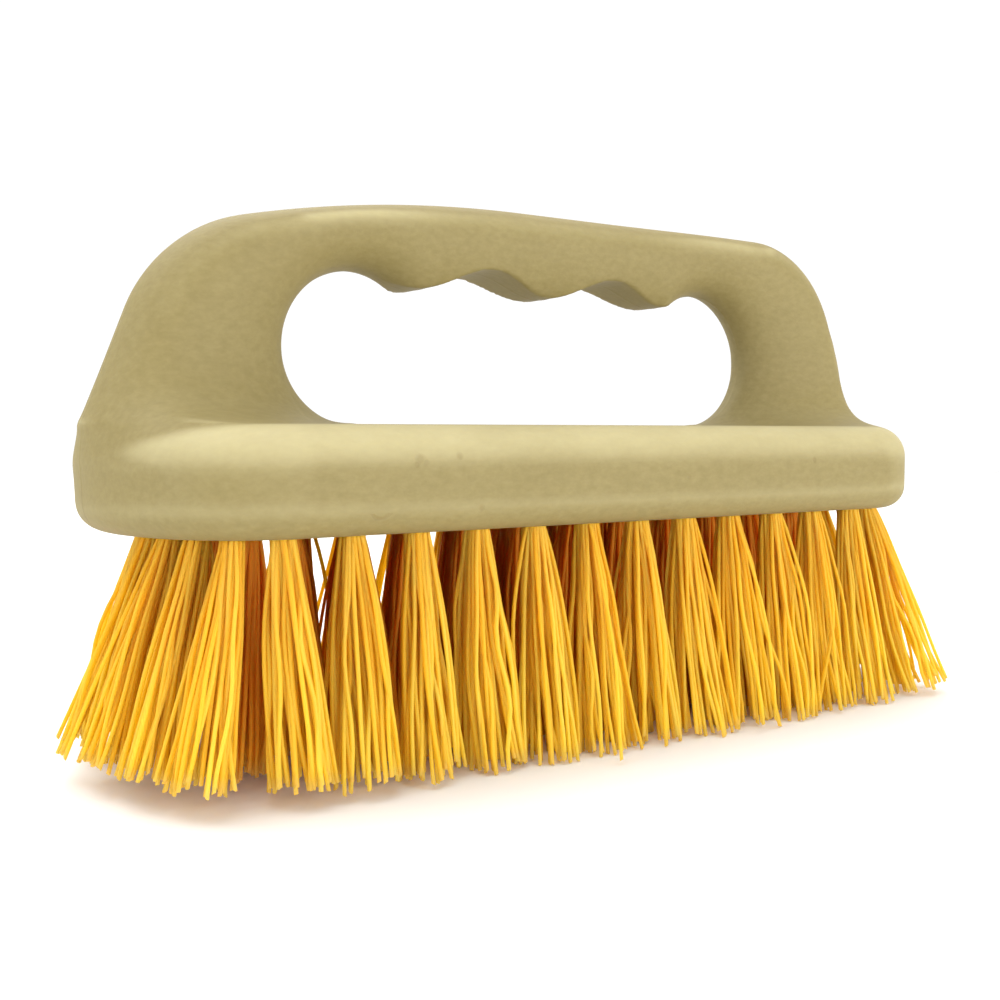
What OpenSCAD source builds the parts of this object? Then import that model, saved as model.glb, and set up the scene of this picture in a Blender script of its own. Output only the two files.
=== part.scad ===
// Scrub brush: a moulded block with a closed loop handle, stiff bristle tufts folded into
// blind holes, and a flat wire anchor across every fold.
// Frame: X runs along the brush from its rounder toe to its squarer heel, Y across it, Z up.
// Z = 0 is the level of the bristle ends, and the origin is under the middle of the brush.

/* [Block] */
// length of the block, from toe to heel
block_length = 150; // [140:1:165]
// width of the block
block_width = 54.6; // [52:0.2:60]
// thickness of the block
block_height = 15.2; // [14:0.2:20]
// rounding of the block's upper edge
top_round = 5.7; // [3:0.1:6.2]
// rounding of the block's lower edge
rim_round = 4.1; // [2:0.1:5]
// radius of the two corners at the toe
toe_corner_r = 20; // [18:0.5:22]
// radius of the bowed end at the toe
toe_bow_r = 34; // [32:1:60]
// radius of the two corners at the heel
heel_corner_r = 12; // [11:0.5:16]
// radius of the bowed end at the heel
heel_bow_r = 80; // [60:1:120]

/* [Handle] */
// height of the handle's top above the block
handle_rise = 35.6; // [33:0.2:42]
// width of the grip, across the brush
grip_width = 18; // [15:0.5:22]
// distance from the block's toe to the hand opening
open_from_toe = 29.1; // [27:0.1:34]
// distance from the hand opening to the block's heel
open_from_heel = 25.2; // [24:0.1:30]
// mean height of the hand opening
open_height = 23.3; // [22:0.1:26]
// depth of the finger scallops, to each side of the mean height
scallop_depth = 1.75; // [0.5:0.05:2]
// distance from one finger scallop to the next
scallop_pitch = 25.2; // [22:0.1:27]
// lean of the handle's toe face, as an angle from the block's top
toe_face_angle = 68.2; // [62:0.2:74]
// radius of the handle's shoulder over the toe
toe_shoulder_r = 27; // [24:0.5:30]
// radius of the handle's shoulder over the heel
heel_shoulder_r = 18; // [14:0.5:20]
// how far the handle's heel face is set in from the block's heel
heel_face_set = 4.4; // [3:0.1:8]
// how far the handle's feet spread over the block, to each side
foot_spread = 8; // [4:0.5:9]
// height over which the feet spread
foot_rise = 11; // [8:0.5:13]

/* [Bristles] */
// free length of the bristles under the block
bristle_reach = 35.3; // [30:0.1:45]
// distance from the outer ring of holes to the block's edge, along the sides and the heel
ring_inset = 6.8; // [6.6:0.1:7.4]
// distance from the toe's bowed row of holes to the block's toe
toe_inset = 11.4; // [11:0.1:12.4]
// radius of the toe's bowed row of holes
toe_row_r = 42; // [36:1:50]
// spacing of the holes along the toe's bowed row
toe_pitch = 7; // [6.8:0.05:7.2]
// spacing of the holes round the heel
end_pitch = 7.72; // [7.5:0.02:7.9]
// diameter of a tuft where it leaves its hole
stem_d = 4.1; // [3.6:0.05:4.15]
// diameter of a tuft a little below its hole
neck_d = 5.2; // [4.4:0.1:5.6]
// diameter of a tuft at its end
tip_d = 8.4; // [7:0.1:8.6]
// outward lean of the tufts along the sides
side_lean = 6; // [3:0.5:10]
// outward lean of the tufts at the toe
toe_lean = 16; // [12:0.5:18]
// outward lean of the tufts at the heel
heel_lean = 18; // [14:0.5:20]
// lean of the staggered inner tufts
inner_lean = 4; // [2:0.5:6]
// how much shorter the tufts at the toe are than the others
toe_trim = 2.8; // [0:0.1:4]

/* [Holes and anchors] */
// diameter of a tuft hole
hole_d = 4.2; // [4.2:0.05:4.4]
// depth of a tuft hole
hole_depth = 10.5; // [8:0.1:11]
// length of a wire anchor, which bites into the hole's walls
anchor_len = 5; // [4.7:0.1:5.2]
// thickness of a wire anchor
anchor_t = 0.4; // [0.3:0.05:0.5]
// height of a wire anchor
anchor_h = 1.8; // [1.4:0.1:2.4]
// turn of the anchors about their holes
anchor_turn = 35; // [0:5:90]

/* [Detail] */
// facets round the handle's section
section_facets = 24; // [16:2:28]
// cross-sections along the grip
grip_stations = 32; // [24:1:36]

/* [Hidden] */
$fn = 64;

half_l = block_length / 2;
half_w = block_width / 2;
rad = PI / 180;

// the block's outline: straight sides, two corner arcs and one bowed arc at each end
toe_cy = half_w - toe_corner_r;
toe_ex = -half_l + toe_bow_r;
toe_cx = toe_ex - sqrt(pow(toe_bow_r - toe_corner_r, 2) - toe_cy * toe_cy);
toe_a = asin(toe_cy / (toe_bow_r - toe_corner_r));
heel_cy = half_w - heel_corner_r;
heel_ex = half_l - heel_bow_r;
heel_cx = heel_ex + sqrt(pow(heel_bow_r - heel_corner_r, 2) - heel_cy * heel_cy);
heel_a = asin(heel_cy / (heel_bow_r - heel_corner_r));

// lengths along the ring of holes, which runs inside the outline
ring_toe_bow = (toe_bow_r - ring_inset) * toe_a * rad;
ring_toe_corner = (toe_corner_r - ring_inset) * (90 - toe_a) * rad;
ring_side = heel_cx - toe_cx;
ring_heel_corner = (heel_corner_r - ring_inset) * (90 - heel_a) * rad;
ring_heel_bow = (heel_bow_r - ring_inset) * heel_a * rad;
ring_1 = ring_toe_bow;
ring_2 = ring_1 + ring_toe_corner;
ring_3 = ring_2 + ring_side;
ring_4 = ring_3 + ring_heel_corner;
ring_5 = ring_4 + ring_heel_bow;

// a place on the ring at length s from the toe: [x, y, outward angle]
function on_arc(cx, cy, r, a) = [cx + r * cos(a), cy + r * sin(a), a];
function ring(s) =
    s < ring_1 ? on_arc(toe_ex, 0, toe_bow_r - ring_inset, 180 - s / ring_1 * toe_a)
  : s < ring_2 ? on_arc(toe_cx, toe_cy, toe_corner_r - ring_inset,
                        180 - toe_a - (s - ring_1) / ring_toe_corner * (90 - toe_a))
  : s < ring_3 ? [toe_cx + s - ring_2, half_w - ring_inset, 90]
  : s < ring_4 ? on_arc(heel_cx, heel_cy, heel_corner_r - ring_inset,
                        90 - (s - ring_3) / ring_heel_corner * (90 - heel_a))
  : on_arc(heel_ex, 0, heel_bow_r - ring_inset, (ring_5 - s) / ring_heel_bow * heel_a);

side_first = 3.5 * end_pitch;
side_pitch = (ring_5 - 2 * side_first) / 11;
function ring_lean(a) =
    side_lean + ((cos(a) < 0 ? toe_lean : heel_lean) - side_lean) * abs(cos(a));
// a hole is [x, y, outward angle, lean]
function ring_hole(s, side) = let (p = ring(s)) [p[0], side * p[1], side * p[2], ring_lean(p[2])];
function side_x(k) = ring(side_first + k * side_pitch)[0];
inner_y = (half_w - ring_inset) / 2;

// the holes of one row across the block; rows run from 1 at the toe to 25 at the heel
function stagger_x(i) =
    i == 0 ? side_x(0) - 0.9 : i == 12 ? side_x(11) + 2.1 : (side_x(i - 1) + side_x(i)) / 2;
function stagger_angle(i) = i == 0 ? 143 : i == 12 ? 37 : 90;
function stagger_lean(i) = (i == 0 || i == 12) ? inner_lean + 3 : inner_lean;
function row_holes(n) =
    n % 2 == 1
    ? let (i = (n - 1) / 2)
      [for (side = [-1, 1])
          [stagger_x(i), side * inner_y, side * stagger_angle(i), stagger_lean(i)]]
    : let (k = n / 2 - 1)
      [ring_hole(side_first + k * side_pitch, -1), [side_x(k), 0, 0, 0],
       ring_hole(side_first + k * side_pitch, 1)];
toe_step = toe_pitch / toe_row_r / rad;
function toe_holes() =
    [for (side = [-1, 1], j = [0:2])
        let (a = (j + 0.5) * toe_step)
        [-half_l + toe_inset + toe_row_r * (1 - cos(a)), side * toe_row_r * sin(a),
         side * (180 - 1.65 * a), ring_lean(180 - 1.65 * a)]];
function heel_holes() =
    [for (side = [-1, 1], j = [0:2]) ring_hole(ring_5 - (j + 0.5) * end_pitch, side)];
all_holes = concat(toe_holes(), heel_holes(), [for (n = [1:25]) each row_holes(n)]);

// a tuft ends on the floor, or a little above it towards the toe
function tuft_len(h) =
    (bristle_reach - tip_d / 2 * sin(h[3])) / cos(h[3])
    - toe_trim * min(max((-20 - h[0]) / 30, 0), 1);
function tuft_reach(h) =
    let (ax = sin(h[3]) * cos(h[2]))
    abs(h[0] + tuft_len(h) * ax) + tip_d / 2 * sqrt(1 - ax * ax);
// this puts the origin under the middle of everything
shift_x = (max([for (h = toe_holes()) tuft_reach(h)])
         - max([for (h = heel_holes()) tuft_reach(h)])) / 2;
block_top = bristle_reach + block_height;

// the handle's outer line, by arc length from the toe face's foot
flat_angle = 12;
crown_r = 225;
toe_foot_x = -half_l + 0.1;
toe_line_z = handle_rise - crown_r * (1 - cos(flat_angle))
           - toe_shoulder_r * (cos(flat_angle) - cos(toe_face_angle));
toe_line_x = toe_foot_x + toe_line_z / tan(toe_face_angle);
crown_x = toe_line_x + toe_shoulder_r * (sin(toe_face_angle) - sin(flat_angle));
crown_end_x = crown_x + crown_r * sin(flat_angle);
heel_drop = 86;
heel_face_x = half_l - heel_face_set;
heel_arc_z = handle_rise - heel_shoulder_r * (1 - cos(heel_drop));
heel_mid_z = 12.2;
heel_arc_x = heel_face_x - (heel_arc_z - heel_mid_z) / tan(heel_drop)
           - heel_shoulder_r * sin(heel_drop);
o1 = toe_line_z / sin(toe_face_angle);
o2 = o1 + toe_shoulder_r * (toe_face_angle - flat_angle) * rad;
o3 = o2 + crown_r * flat_angle * rad;
o4 = o3 + heel_arc_x - crown_end_x;
o5 = o4 + heel_shoulder_r * heel_drop * rad;
o6 = o5 + (heel_arc_z - heel_mid_z) / sin(heel_drop);
function outer(s) =
    s < o1 ? [toe_foot_x + s * cos(toe_face_angle), s * sin(toe_face_angle)]
  : s < o2 ? let (a = toe_face_angle - (s - o1) / toe_shoulder_r / rad)
      [toe_line_x + toe_shoulder_r * (sin(toe_face_angle) - sin(a)),
       toe_line_z + toe_shoulder_r * (cos(a) - cos(toe_face_angle))]
  : s < o3 ? let (a = flat_angle - (s - o2) / crown_r / rad)
      [crown_end_x - crown_r * sin(a), handle_rise - crown_r * (1 - cos(a))]
  : s < o4 ? [crown_end_x + s - o3, handle_rise]
  : s < o5 ? let (a = (s - o4) / heel_shoulder_r / rad)
      [heel_arc_x + heel_shoulder_r * sin(a), handle_rise - heel_shoulder_r * (1 - cos(a))]
  : [heel_face_x - (o6 - s) * cos(heel_drop), heel_mid_z + (o6 - s) * sin(heel_drop)];

// the underside of the grip: four scallops for the fingers, shallower at the two ends
scallop_x = -half_l + 63.7;
function underside(x) =
    let (c = cos(360 * (x - scallop_x) / scallop_pitch),
         first = x < scallop_x - 0.75 * scallop_pitch, last = x > scallop_x + 1.75 * scallop_pitch)
    open_height + scallop_depth * c * (c > 0 && first ? 0.35 : c > 0 && last ? 0.7 : 1);

// the hand opening's two rounded ends
toe_r = (open_height + 0.3 * scallop_depth) / 2;
heel_r = (open_height + 0.65 * scallop_depth) / 2;
toe_open_x = -half_l + open_from_toe + toe_r;
heel_open_x = half_l - open_from_heel - heel_r;

// how much of its spread a foot has at height z
function spread(z, rise) = z >= rise ? 0 : 1 - sqrt(1 - pow(1 - max(z, 0) / rise, 2));
function foot_w(z) = grip_width / 2 + 0.4 + foot_spread * spread(z, foot_rise);
function toe_face(z) = toe_foot_x + (z > 0 ? z / tan(toe_face_angle) : -z * 0.12);
function heel_face(z) =
    heel_face_x + (heel_mid_z - max(z, 0)) / tan(heel_drop)
    + (heel_face_set - 1.1) * spread(z, 12) + min(z, 0) * 0.1;

// a station of the handle is [inner point, outer point, half width]
leg_n = 7;
bend_n = 9;
sink = 5;
toe_s0 = toe_r / sin(toe_face_angle);
toe_s1 = o2 + crown_r * (flat_angle - asin((crown_end_x - toe_open_x) / crown_r)) * rad;
heel_s0 = o3 + heel_open_x - crown_end_x;
function toe_station(a) =
    let (inner = [toe_open_x - toe_r * cos(a), toe_r + toe_r * sin(a)])
    a <= 0 ? [inner, [toe_face(inner[1]), inner[1]], foot_w(inner[1])]
           : [inner, outer(toe_s0 + (toe_s1 - toe_s0) * a / 90),
              grip_width / 2 + 0.4 * (1 - a / 90)];
function heel_station(a) =
    let (inner = [heel_open_x + heel_r * cos(a), heel_r + heel_r * sin(a)])
    a <= 0 ? [inner, [heel_face(inner[1]), inner[1]], foot_w(inner[1])]
           : [inner, outer(heel_s0 + (o6 - heel_s0) * (1 - a / 90)),
              grip_width / 2 + 0.4 * (1 - a / 90)];
function grip_station(t) =
    let (x = toe_open_x + (heel_open_x - toe_open_x) * t)
    [[x, underside(x)], outer(toe_s1 + (heel_s0 - toe_s1) * t), grip_width / 2];
stations = concat(
    [[[toe_open_x, -sink], [toe_face(-sink), -sink], foot_w(0)]],
    [for (i = [0:leg_n - 1]) toe_station(-90 + 90 * i / leg_n)],
    [for (i = [0:bend_n - 1]) toe_station(90 * i / bend_n)],
    [for (i = [0:grip_stations]) grip_station(i / grip_stations)],
    [for (i = [1:bend_n]) heel_station(90 - 90 * i / bend_n)],
    [for (i = [1:leg_n]) heel_station(-90 * i / leg_n)],
    [[[heel_open_x, -sink], [heel_face(-sink), -sink], foot_w(0)]]);

// the handle's section: narrow on the finger side, broad on the palm side
function section_point(st, k) =
    let (a = 360 * k / section_facets, u = (1 - cos(a)) / 2,
         w = st[2] * sqrt(max(0, (1 - pow(1 - u, 2)) * (1 - pow(u, 6)))))
    [st[0][0] + u * (st[1][0] - st[0][0]), a > 180 ? -w : w,
     st[0][1] + u * (st[1][1] - st[0][1])];

// a closed skin over rings of points that all have the same count
module loft(rings) {
    n = len(rings[0]);
    m = len(rings);
    polyhedron(
        points = [for (r = rings) each r],
        faces = concat(
            [[for (k = [0:n - 1]) k]],
            [for (i = [0:m - 2], k = [0:n - 1])
                [i * n + k, (i + 1) * n + k, (i + 1) * n + (k + 1) % n]],
            [for (i = [0:m - 2], k = [0:n - 1])
                [i * n + k, (i + 1) * n + (k + 1) % n, i * n + (k + 1) % n]],
            [[for (k = [n - 1:-1:0]) (m - 1) * n + k]]));
}

module handle() {
    translate([0, 0, block_top])
        loft([for (st = stations) [for (k = [0:section_facets - 1]) section_point(st, k)]]);
}

// one level of the block: its outline drawn in by d, at height z, going round from the toe
function arc_points(cx, cy, r, a, b, n, last) =
    [for (i = [0:last]) [cx + r * cos(a + (b - a) * i / n), cy + r * sin(a + (b - a) * i / n)]];
function level(d, z) =
    [for (p = concat(
        arc_points(toe_ex, 0, toe_bow_r - d, 180 - toe_a, 180 + toe_a, 8, 7),
        arc_points(toe_cx, -toe_cy, toe_corner_r - d, 180 + toe_a, 270, 8, 8),
        arc_points(heel_cx, -heel_cy, heel_corner_r - d, 270, 360 - heel_a, 9, 8),
        arc_points(heel_ex, 0, heel_bow_r - d, -heel_a, heel_a, 6, 5),
        arc_points(heel_cx, heel_cy, heel_corner_r - d, heel_a, 90, 9, 9),
        arc_points(toe_cx, toe_cy, toe_corner_r - d, 90, 180 - toe_a, 8, 7))) [p[0], p[1], z]];

module block() {
    translate([0, 0, bristle_reach])
        loft(concat(
            [for (a = [0:18:90])
                level(rim_round * (1 - sin(a)), rim_round * (1 - cos(a)))],
            [for (a = [0:15:90])
                level(top_round * (1 - cos(a)), block_height - top_round * (1 - sin(a)))]));
}

// puts its children at a hole's mouth, with +Z along the tuft towards its end
module at_hole(h) {
    translate([h[0], h[1], bristle_reach])
        rotate([0, 0, h[2]]) rotate([0, 180 - h[3], 0]) children();
}

// a bar across a hole where the anchor sits, near the hole's blind end
module across(len, t, high) {
    translate([0, 0, -(hole_depth - 2.7)])
        rotate([0, 0, anchor_turn]) cube([len, t, high], center = true);
}

module bore() {
    translate([0, 0, -hole_depth]) cylinder(d = hole_d, h = hole_depth + 4);
    across(anchor_len + 0.1, anchor_t + 0.1, anchor_h + 0.1);
}

module tuft(length) {
    difference() {
        rotate_extrude()
            polygon([[0, -hole_depth + 0.3], [stem_d / 2, -hole_depth + 0.3],
                     [stem_d / 2, 0.8], [neck_d / 2, 6.5], [tip_d / 2, length], [0, length]]);
        across(hole_d + 2, anchor_t + 0.1, anchor_h + 0.1);
    }
}

module moulded_body() {
    color([0.84, 0.79, 0.58]) translate([shift_x, 0, 0])
        difference() {
            union() {
                block();
                handle();
            }
            for (h = all_holes) at_hole(h) bore();
        }
}

module tufts(holes) {
    color([0.93, 0.71, 0.2]) translate([shift_x, 0, 0])
        for (h = holes) at_hole(h) tuft(tuft_len(h));
}

module anchors(holes) {
    color([0.75, 0.76, 0.78]) translate([shift_x, 0, 0])
        for (h = holes) at_hole(h) across(anchor_len, anchor_t, anchor_h);
}

module tuft_row_toe() tufts(toe_holes());
module tuft_row_heel() tufts(heel_holes());
module tuft_row(n) tufts(row_holes(n));
module anchor_row_toe() anchors(toe_holes());
module anchor_row_heel() anchors(heel_holes());
module anchor_row(n) anchors(row_holes(n));

moulded_body();
tuft_row_toe();
tuft_row(1);  // tuft_row_01
tuft_row(2);  // tuft_row_02
tuft_row(3);  // tuft_row_03
tuft_row(4);  // tuft_row_04
tuft_row(5);  // tuft_row_05
tuft_row(6);  // tuft_row_06
tuft_row(7);  // tuft_row_07
tuft_row(8);  // tuft_row_08
tuft_row(9);  // tuft_row_09
tuft_row(10);  // tuft_row_10
tuft_row(11);  // tuft_row_11
tuft_row(12);  // tuft_row_12
tuft_row(13);  // tuft_row_13
tuft_row(14);  // tuft_row_14
tuft_row(15);  // tuft_row_15
tuft_row(16);  // tuft_row_16
tuft_row(17);  // tuft_row_17
tuft_row(18);  // tuft_row_18
tuft_row(19);  // tuft_row_19
tuft_row(20);  // tuft_row_20
tuft_row(21);  // tuft_row_21
tuft_row(22);  // tuft_row_22
tuft_row(23);  // tuft_row_23
tuft_row(24);  // tuft_row_24
tuft_row(25);  // tuft_row_25
tuft_row_heel();
anchor_row_toe();
anchor_row(1);  // anchor_row_01
anchor_row(2);  // anchor_row_02
anchor_row(3);  // anchor_row_03
anchor_row(4);  // anchor_row_04
anchor_row(5);  // anchor_row_05
anchor_row(6);  // anchor_row_06
anchor_row(7);  // anchor_row_07
anchor_row(8);  // anchor_row_08
anchor_row(9);  // anchor_row_09
anchor_row(10);  // anchor_row_10
anchor_row(11);  // anchor_row_11
anchor_row(12);  // anchor_row_12
anchor_row(13);  // anchor_row_13
anchor_row(14);  // anchor_row_14
anchor_row(15);  // anchor_row_15
anchor_row(16);  // anchor_row_16
anchor_row(17);  // anchor_row_17
anchor_row(18);  // anchor_row_18
anchor_row(19);  // anchor_row_19
anchor_row(20);  // anchor_row_20
anchor_row(21);  // anchor_row_21
anchor_row(22);  // anchor_row_22
anchor_row(23);  // anchor_row_23
anchor_row(24);  // anchor_row_24
anchor_row(25);  // anchor_row_25
anchor_row_heel();
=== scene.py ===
import math

import bpy
import numpy as np
from mathutils import Matrix, Vector


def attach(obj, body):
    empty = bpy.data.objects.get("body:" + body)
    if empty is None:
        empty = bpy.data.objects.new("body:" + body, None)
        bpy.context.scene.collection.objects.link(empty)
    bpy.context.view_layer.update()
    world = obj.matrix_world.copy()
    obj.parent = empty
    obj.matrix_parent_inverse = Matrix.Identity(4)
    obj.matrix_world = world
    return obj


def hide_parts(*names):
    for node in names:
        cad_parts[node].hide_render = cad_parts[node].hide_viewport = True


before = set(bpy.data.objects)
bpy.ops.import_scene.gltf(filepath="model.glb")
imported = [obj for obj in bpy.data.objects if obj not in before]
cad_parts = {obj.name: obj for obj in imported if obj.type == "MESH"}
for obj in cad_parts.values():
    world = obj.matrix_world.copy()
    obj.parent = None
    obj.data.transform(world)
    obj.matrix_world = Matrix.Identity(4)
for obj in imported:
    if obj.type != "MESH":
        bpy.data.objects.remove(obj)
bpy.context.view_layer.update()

# ---------------------------------------------------------------------------------------------
# Sizes, in millimetres. The modelling frame has X along the brush from toe to heel, Y across it
# and Z = 0 at the block's top. to_world() moves it into the CAD frame, in metres.
# ---------------------------------------------------------------------------------------------
TOP = 50.5                       # height of the block's top over the floor
REACH = 35.3                     # free length of the bristles
BLOCK_H = 15.2
HALF_L, HALF_W = 75.0, 27.3
R_TOP, R_RIM = 5.7, 4.1
TOE_R, TOE_BOW, HEEL_R, HEEL_BOW = 20.0, 34.0, 12.0, 80.0
RISE = 35.6
GRIP_W = 9.0
OPEN_H, SCALLOP, PITCH = 23.3, 1.75, 25.2
FACE_A = math.radians(68.2)
SHOULDER_TOE, SHOULDER_HEEL, CROWN = 23.5, 22.0, 225.0
FLAT_A = math.radians(12.0)
HEEL_DROP = math.radians(86.0)
INSET, END_PITCH = 6.8, 7.72
TOE_INSET, TOE_ROW_R = 11.4, 42.0
SIDE_LEAN, TOE_LEAN, HEEL_LEAN, INNER_LEAN = 6.0, 16.0, 18.0, 4.0
TIP_D, TOE_TRIM = 8.4, 2.8
HOLE_R, HOLE_DEPTH = 2.1, 10.5
ANCHOR_TURN = math.radians(35.0)


def to_world(p):
    p = np.asarray(p, float)
    out = np.empty_like(p)
    out[..., 0] = (p[..., 0] + SHIFT_X) * 0.001
    out[..., 1] = p[..., 1] * 0.001
    out[..., 2] = (p[..., 2] + TOP) * 0.001
    return out


def smooth(a, b, x):
    t = np.clip((x - a) / (b - a), 0, 1)
    return t * t * (3 - 2 * t)


# ---------------------------------------------------------------------------------------------
# The moulded body as a distance field
# ---------------------------------------------------------------------------------------------
TOE_CY = HALF_W - TOE_R
TOE_EX = -HALF_L + TOE_BOW
TOE_CX = TOE_EX - math.sqrt((TOE_BOW - TOE_R) ** 2 - TOE_CY ** 2)
TOE_A = math.asin(TOE_CY / (TOE_BOW - TOE_R))
HEEL_CY = HALF_W - HEEL_R
HEEL_EX = HALF_L - HEEL_BOW
HEEL_CX = HEEL_EX + math.sqrt((HEEL_BOW - HEEL_R) ** 2 - HEEL_CY ** 2)
HEEL_A = math.asin(HEEL_CY / (HEEL_BOW - HEEL_R))


def outline(x, ay):
    """Signed distance to the block's outline, in plan."""
    d = ay - HALF_W
    toe = x < TOE_CX
    bow_t = np.hypot(x - TOE_EX, ay) - TOE_BOW
    cor_t = np.hypot(x - TOE_CX, ay - TOE_CY) - TOE_R
    ang_t = np.arctan2(ay, TOE_EX - x)
    d = np.where(toe, np.where(ang_t < TOE_A, bow_t, cor_t), d)
    heel = x > HEEL_CX
    bow_h = np.hypot(x - HEEL_EX, ay) - HEEL_BOW
    cor_h = np.hypot(x - HEEL_CX, ay - HEEL_CY) - HEEL_R
    ang_h = np.arctan2(ay, x - HEEL_EX)
    return np.where(heel, np.where(ang_h < HEEL_A, bow_h, cor_h), d)


def block_field(x, ay, z, d2):
    r = np.where(z > -8.0, R_TOP, R_RIM)
    wx = d2 + r
    wz = np.where(z > -8.0, z + R_TOP, -BLOCK_H + R_RIM - z)
    return np.hypot(np.maximum(wx, 0), np.maximum(wz, 0)) + np.minimum(np.maximum(wx, wz), 0) - r


# the handle's outer line in the middle plane
TOE_FOOT_X = -HALF_L - 0.05
LINE_Z = RISE - CROWN * (1 - math.cos(FLAT_A)) - SHOULDER_TOE * (math.cos(FLAT_A) - math.cos(FACE_A))
LINE_X = TOE_FOOT_X + LINE_Z / math.tan(FACE_A)
CROWN_X = LINE_X + SHOULDER_TOE * (math.sin(FACE_A) - math.sin(FLAT_A))
CROWN_END = CROWN_X + CROWN * math.sin(FLAT_A)
C1 = (LINE_X + SHOULDER_TOE * math.sin(FACE_A), LINE_Z - SHOULDER_TOE * math.cos(FACE_A))
C2 = (CROWN_END, RISE - CROWN)
HEEL_SET = 4.4
HEEL_FACE = HALF_L - HEEL_SET + 0.9
HEEL_MID = 12.2
HEEL_ARC_Z = RISE - SHOULDER_HEEL * (1 - math.cos(HEEL_DROP))
HEEL_ARC_X = HEEL_FACE - (HEEL_ARC_Z - HEEL_MID) / math.tan(HEEL_DROP) - SHOULDER_HEEL * math.sin(HEEL_DROP)
C3 = (HEEL_ARC_X, RISE - SHOULDER_HEEL)

# the hand opening
SCALLOP_X = -HALF_L + 63.7
TOE_OR = (OPEN_H + 0.3 * SCALLOP) / 2
HEEL_OR = (OPEN_H + 0.65 * SCALLOP) / 2
TOE_OX = -HALF_L + 29.1 + TOE_OR
HEEL_OX = HALF_L - 25.2 - HEEL_OR


def underside(x):
    """Height and slope of the grip's underside, with its four finger scallops."""
    a = 2 * math.pi * (x - SCALLOP_X) / PITCH
    c = np.cos(a)
    k = np.where((c > 0) & (x < SCALLOP_X - 0.75 * PITCH), 0.35,
                 np.where((c > 0) & (x > SCALLOP_X + 1.75 * PITCH), 0.7, 1.0))
    return OPEN_H + SCALLOP * c * k, -SCALLOP * k * np.sin(a) * 2 * math.pi / PITCH


def spread(z, rise):
    t = np.clip(1 - np.maximum(z, 0) / rise, 0, 1)
    return 1 - np.sqrt(np.maximum(1 - t * t, 0))


def blend(a, b, k):
    h = np.maximum(k - np.abs(a - b), 0) / k
    return np.minimum(a, b) - h * h * k / 4


def inner_distance(x, z):
    """Distance from the hand opening, positive in the handle."""
    slot = np.maximum(np.maximum(TOE_OX - x, x - HEEL_OX), z - (OPEN_H - 3.2))
    toe = np.hypot(x - TOE_OX, z - TOE_OR) - TOE_OR
    heel = np.hypot(x - HEEL_OX, z - HEEL_OR) - HEEL_OR
    k = 0.4 + 7.0 * smooth(OPEN_H, OPEN_H + 8.0, z)
    return blend(blend(slot, toe, k), heel, k)


def outer_distance(x, z):
    """Distance inside the handle's outer line, positive in the handle."""
    line_t = (x - TOE_FOOT_X) * math.sin(FACE_A) - z * math.cos(FACE_A)
    below = z < 0
    line_t = np.where(below, (x - TOE_FOOT_X - 0.35 * np.maximum(-z, 0)) * math.sin(FACE_A), line_t)
    top = RISE - z
    fz = np.where(z < 12, 1.1, 0.0) * spread(z, 12) + 0.13 * np.clip(HEEL_ARC_Z - z, 0, HEEL_ARC_Z)
    face = HEEL_FACE + (HEEL_MID - np.maximum(z, 0)) / math.tan(HEEL_DROP) + fz
    lim = HALF_L - 0.6 - 1.2 * smooth(0.0, 3.0, -z)       # the foot stays within the block's end
    face = 0.5 * (face + lim - np.sqrt((face - lim) ** 2 + 0.36))
    t = np.clip(1 - np.maximum(z, 0) / 12, 0, 0.97)
    slope = 1 / math.tan(HEEL_DROP) + 0.13 + 1.1 / 12 * t / np.sqrt(1 - t * t)
    line_h = (face - x) / np.sqrt(1 + slope * slope)
    d = np.minimum(np.minimum(line_t, top), line_h)
    a1 = np.arctan2(x - C1[0], z - C1[1])           # 0 is straight up, negative to the toe
    a2 = np.arctan2(x - C2[0], z - C2[1])
    a3 = np.arctan2(x - C3[0], z - C3[1])
    in2 = (a2 > -FLAT_A) & (a2 < 0) & (z > 0)
    d = np.where(in2, CROWN - np.hypot(x - C2[0], z - C2[1]), d)
    in1 = (a1 > -FACE_A) & (a1 <= -FLAT_A)
    d = np.where(in1, SHOULDER_TOE - np.hypot(x - C1[0], z - C1[1]), d)
    in3 = (a3 > 0) & (a3 < HEEL_DROP) & (z > C3[1])
    return np.where(in3, SHOULDER_HEEL - np.hypot(x - C3[0], z - C3[1]), d)


def handle_field(x, ay, z, d2):
    di, do = inner_distance(x, z), outer_distance(x, z)
    t = np.maximum(di + do, 5.0)
    u = np.clip(di / t, -1.0, 1.5)
    leg = 0.4 * (1 - smooth(14, 26, z))
    rim = np.clip(d2 + R_TOP, 0, R_TOP)
    zt = -R_TOP + np.sqrt(R_TOP * R_TOP - rim * rim)      # the block's top sinks towards its rim
    w = GRIP_W + leg + 8.0 * spread(z - zt, 11.0 - zt)
    n = 6.0 + 5.0 * smooth(20.0, 45.0, x) * (1 - smooth(10.0, 20.0, z))      # squarer low at the heel
    a, b = 1 - (1 - u) ** 2, 1 - np.maximum(u, 0) ** n
    f = (ay / w) ** 2 - a * b
    slope = 2 * (1 - u) * b - n * np.maximum(u, 0) ** (n - 1) * a
    grad = np.sqrt((2 * ay / w ** 2) ** 2 + (slope / t) ** 2)
    d = f / np.maximum(grad, 0.06)
    # the finger grooves are cut straight across, which leaves a crisp edge on each side
    h, s = underside(x)
    groove = (h - z) / np.sqrt(1 + s * s)
    return np.where((x > TOE_OX) & (x < HEEL_OX) & (z > 12), np.maximum(d, groove), d)


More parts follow.
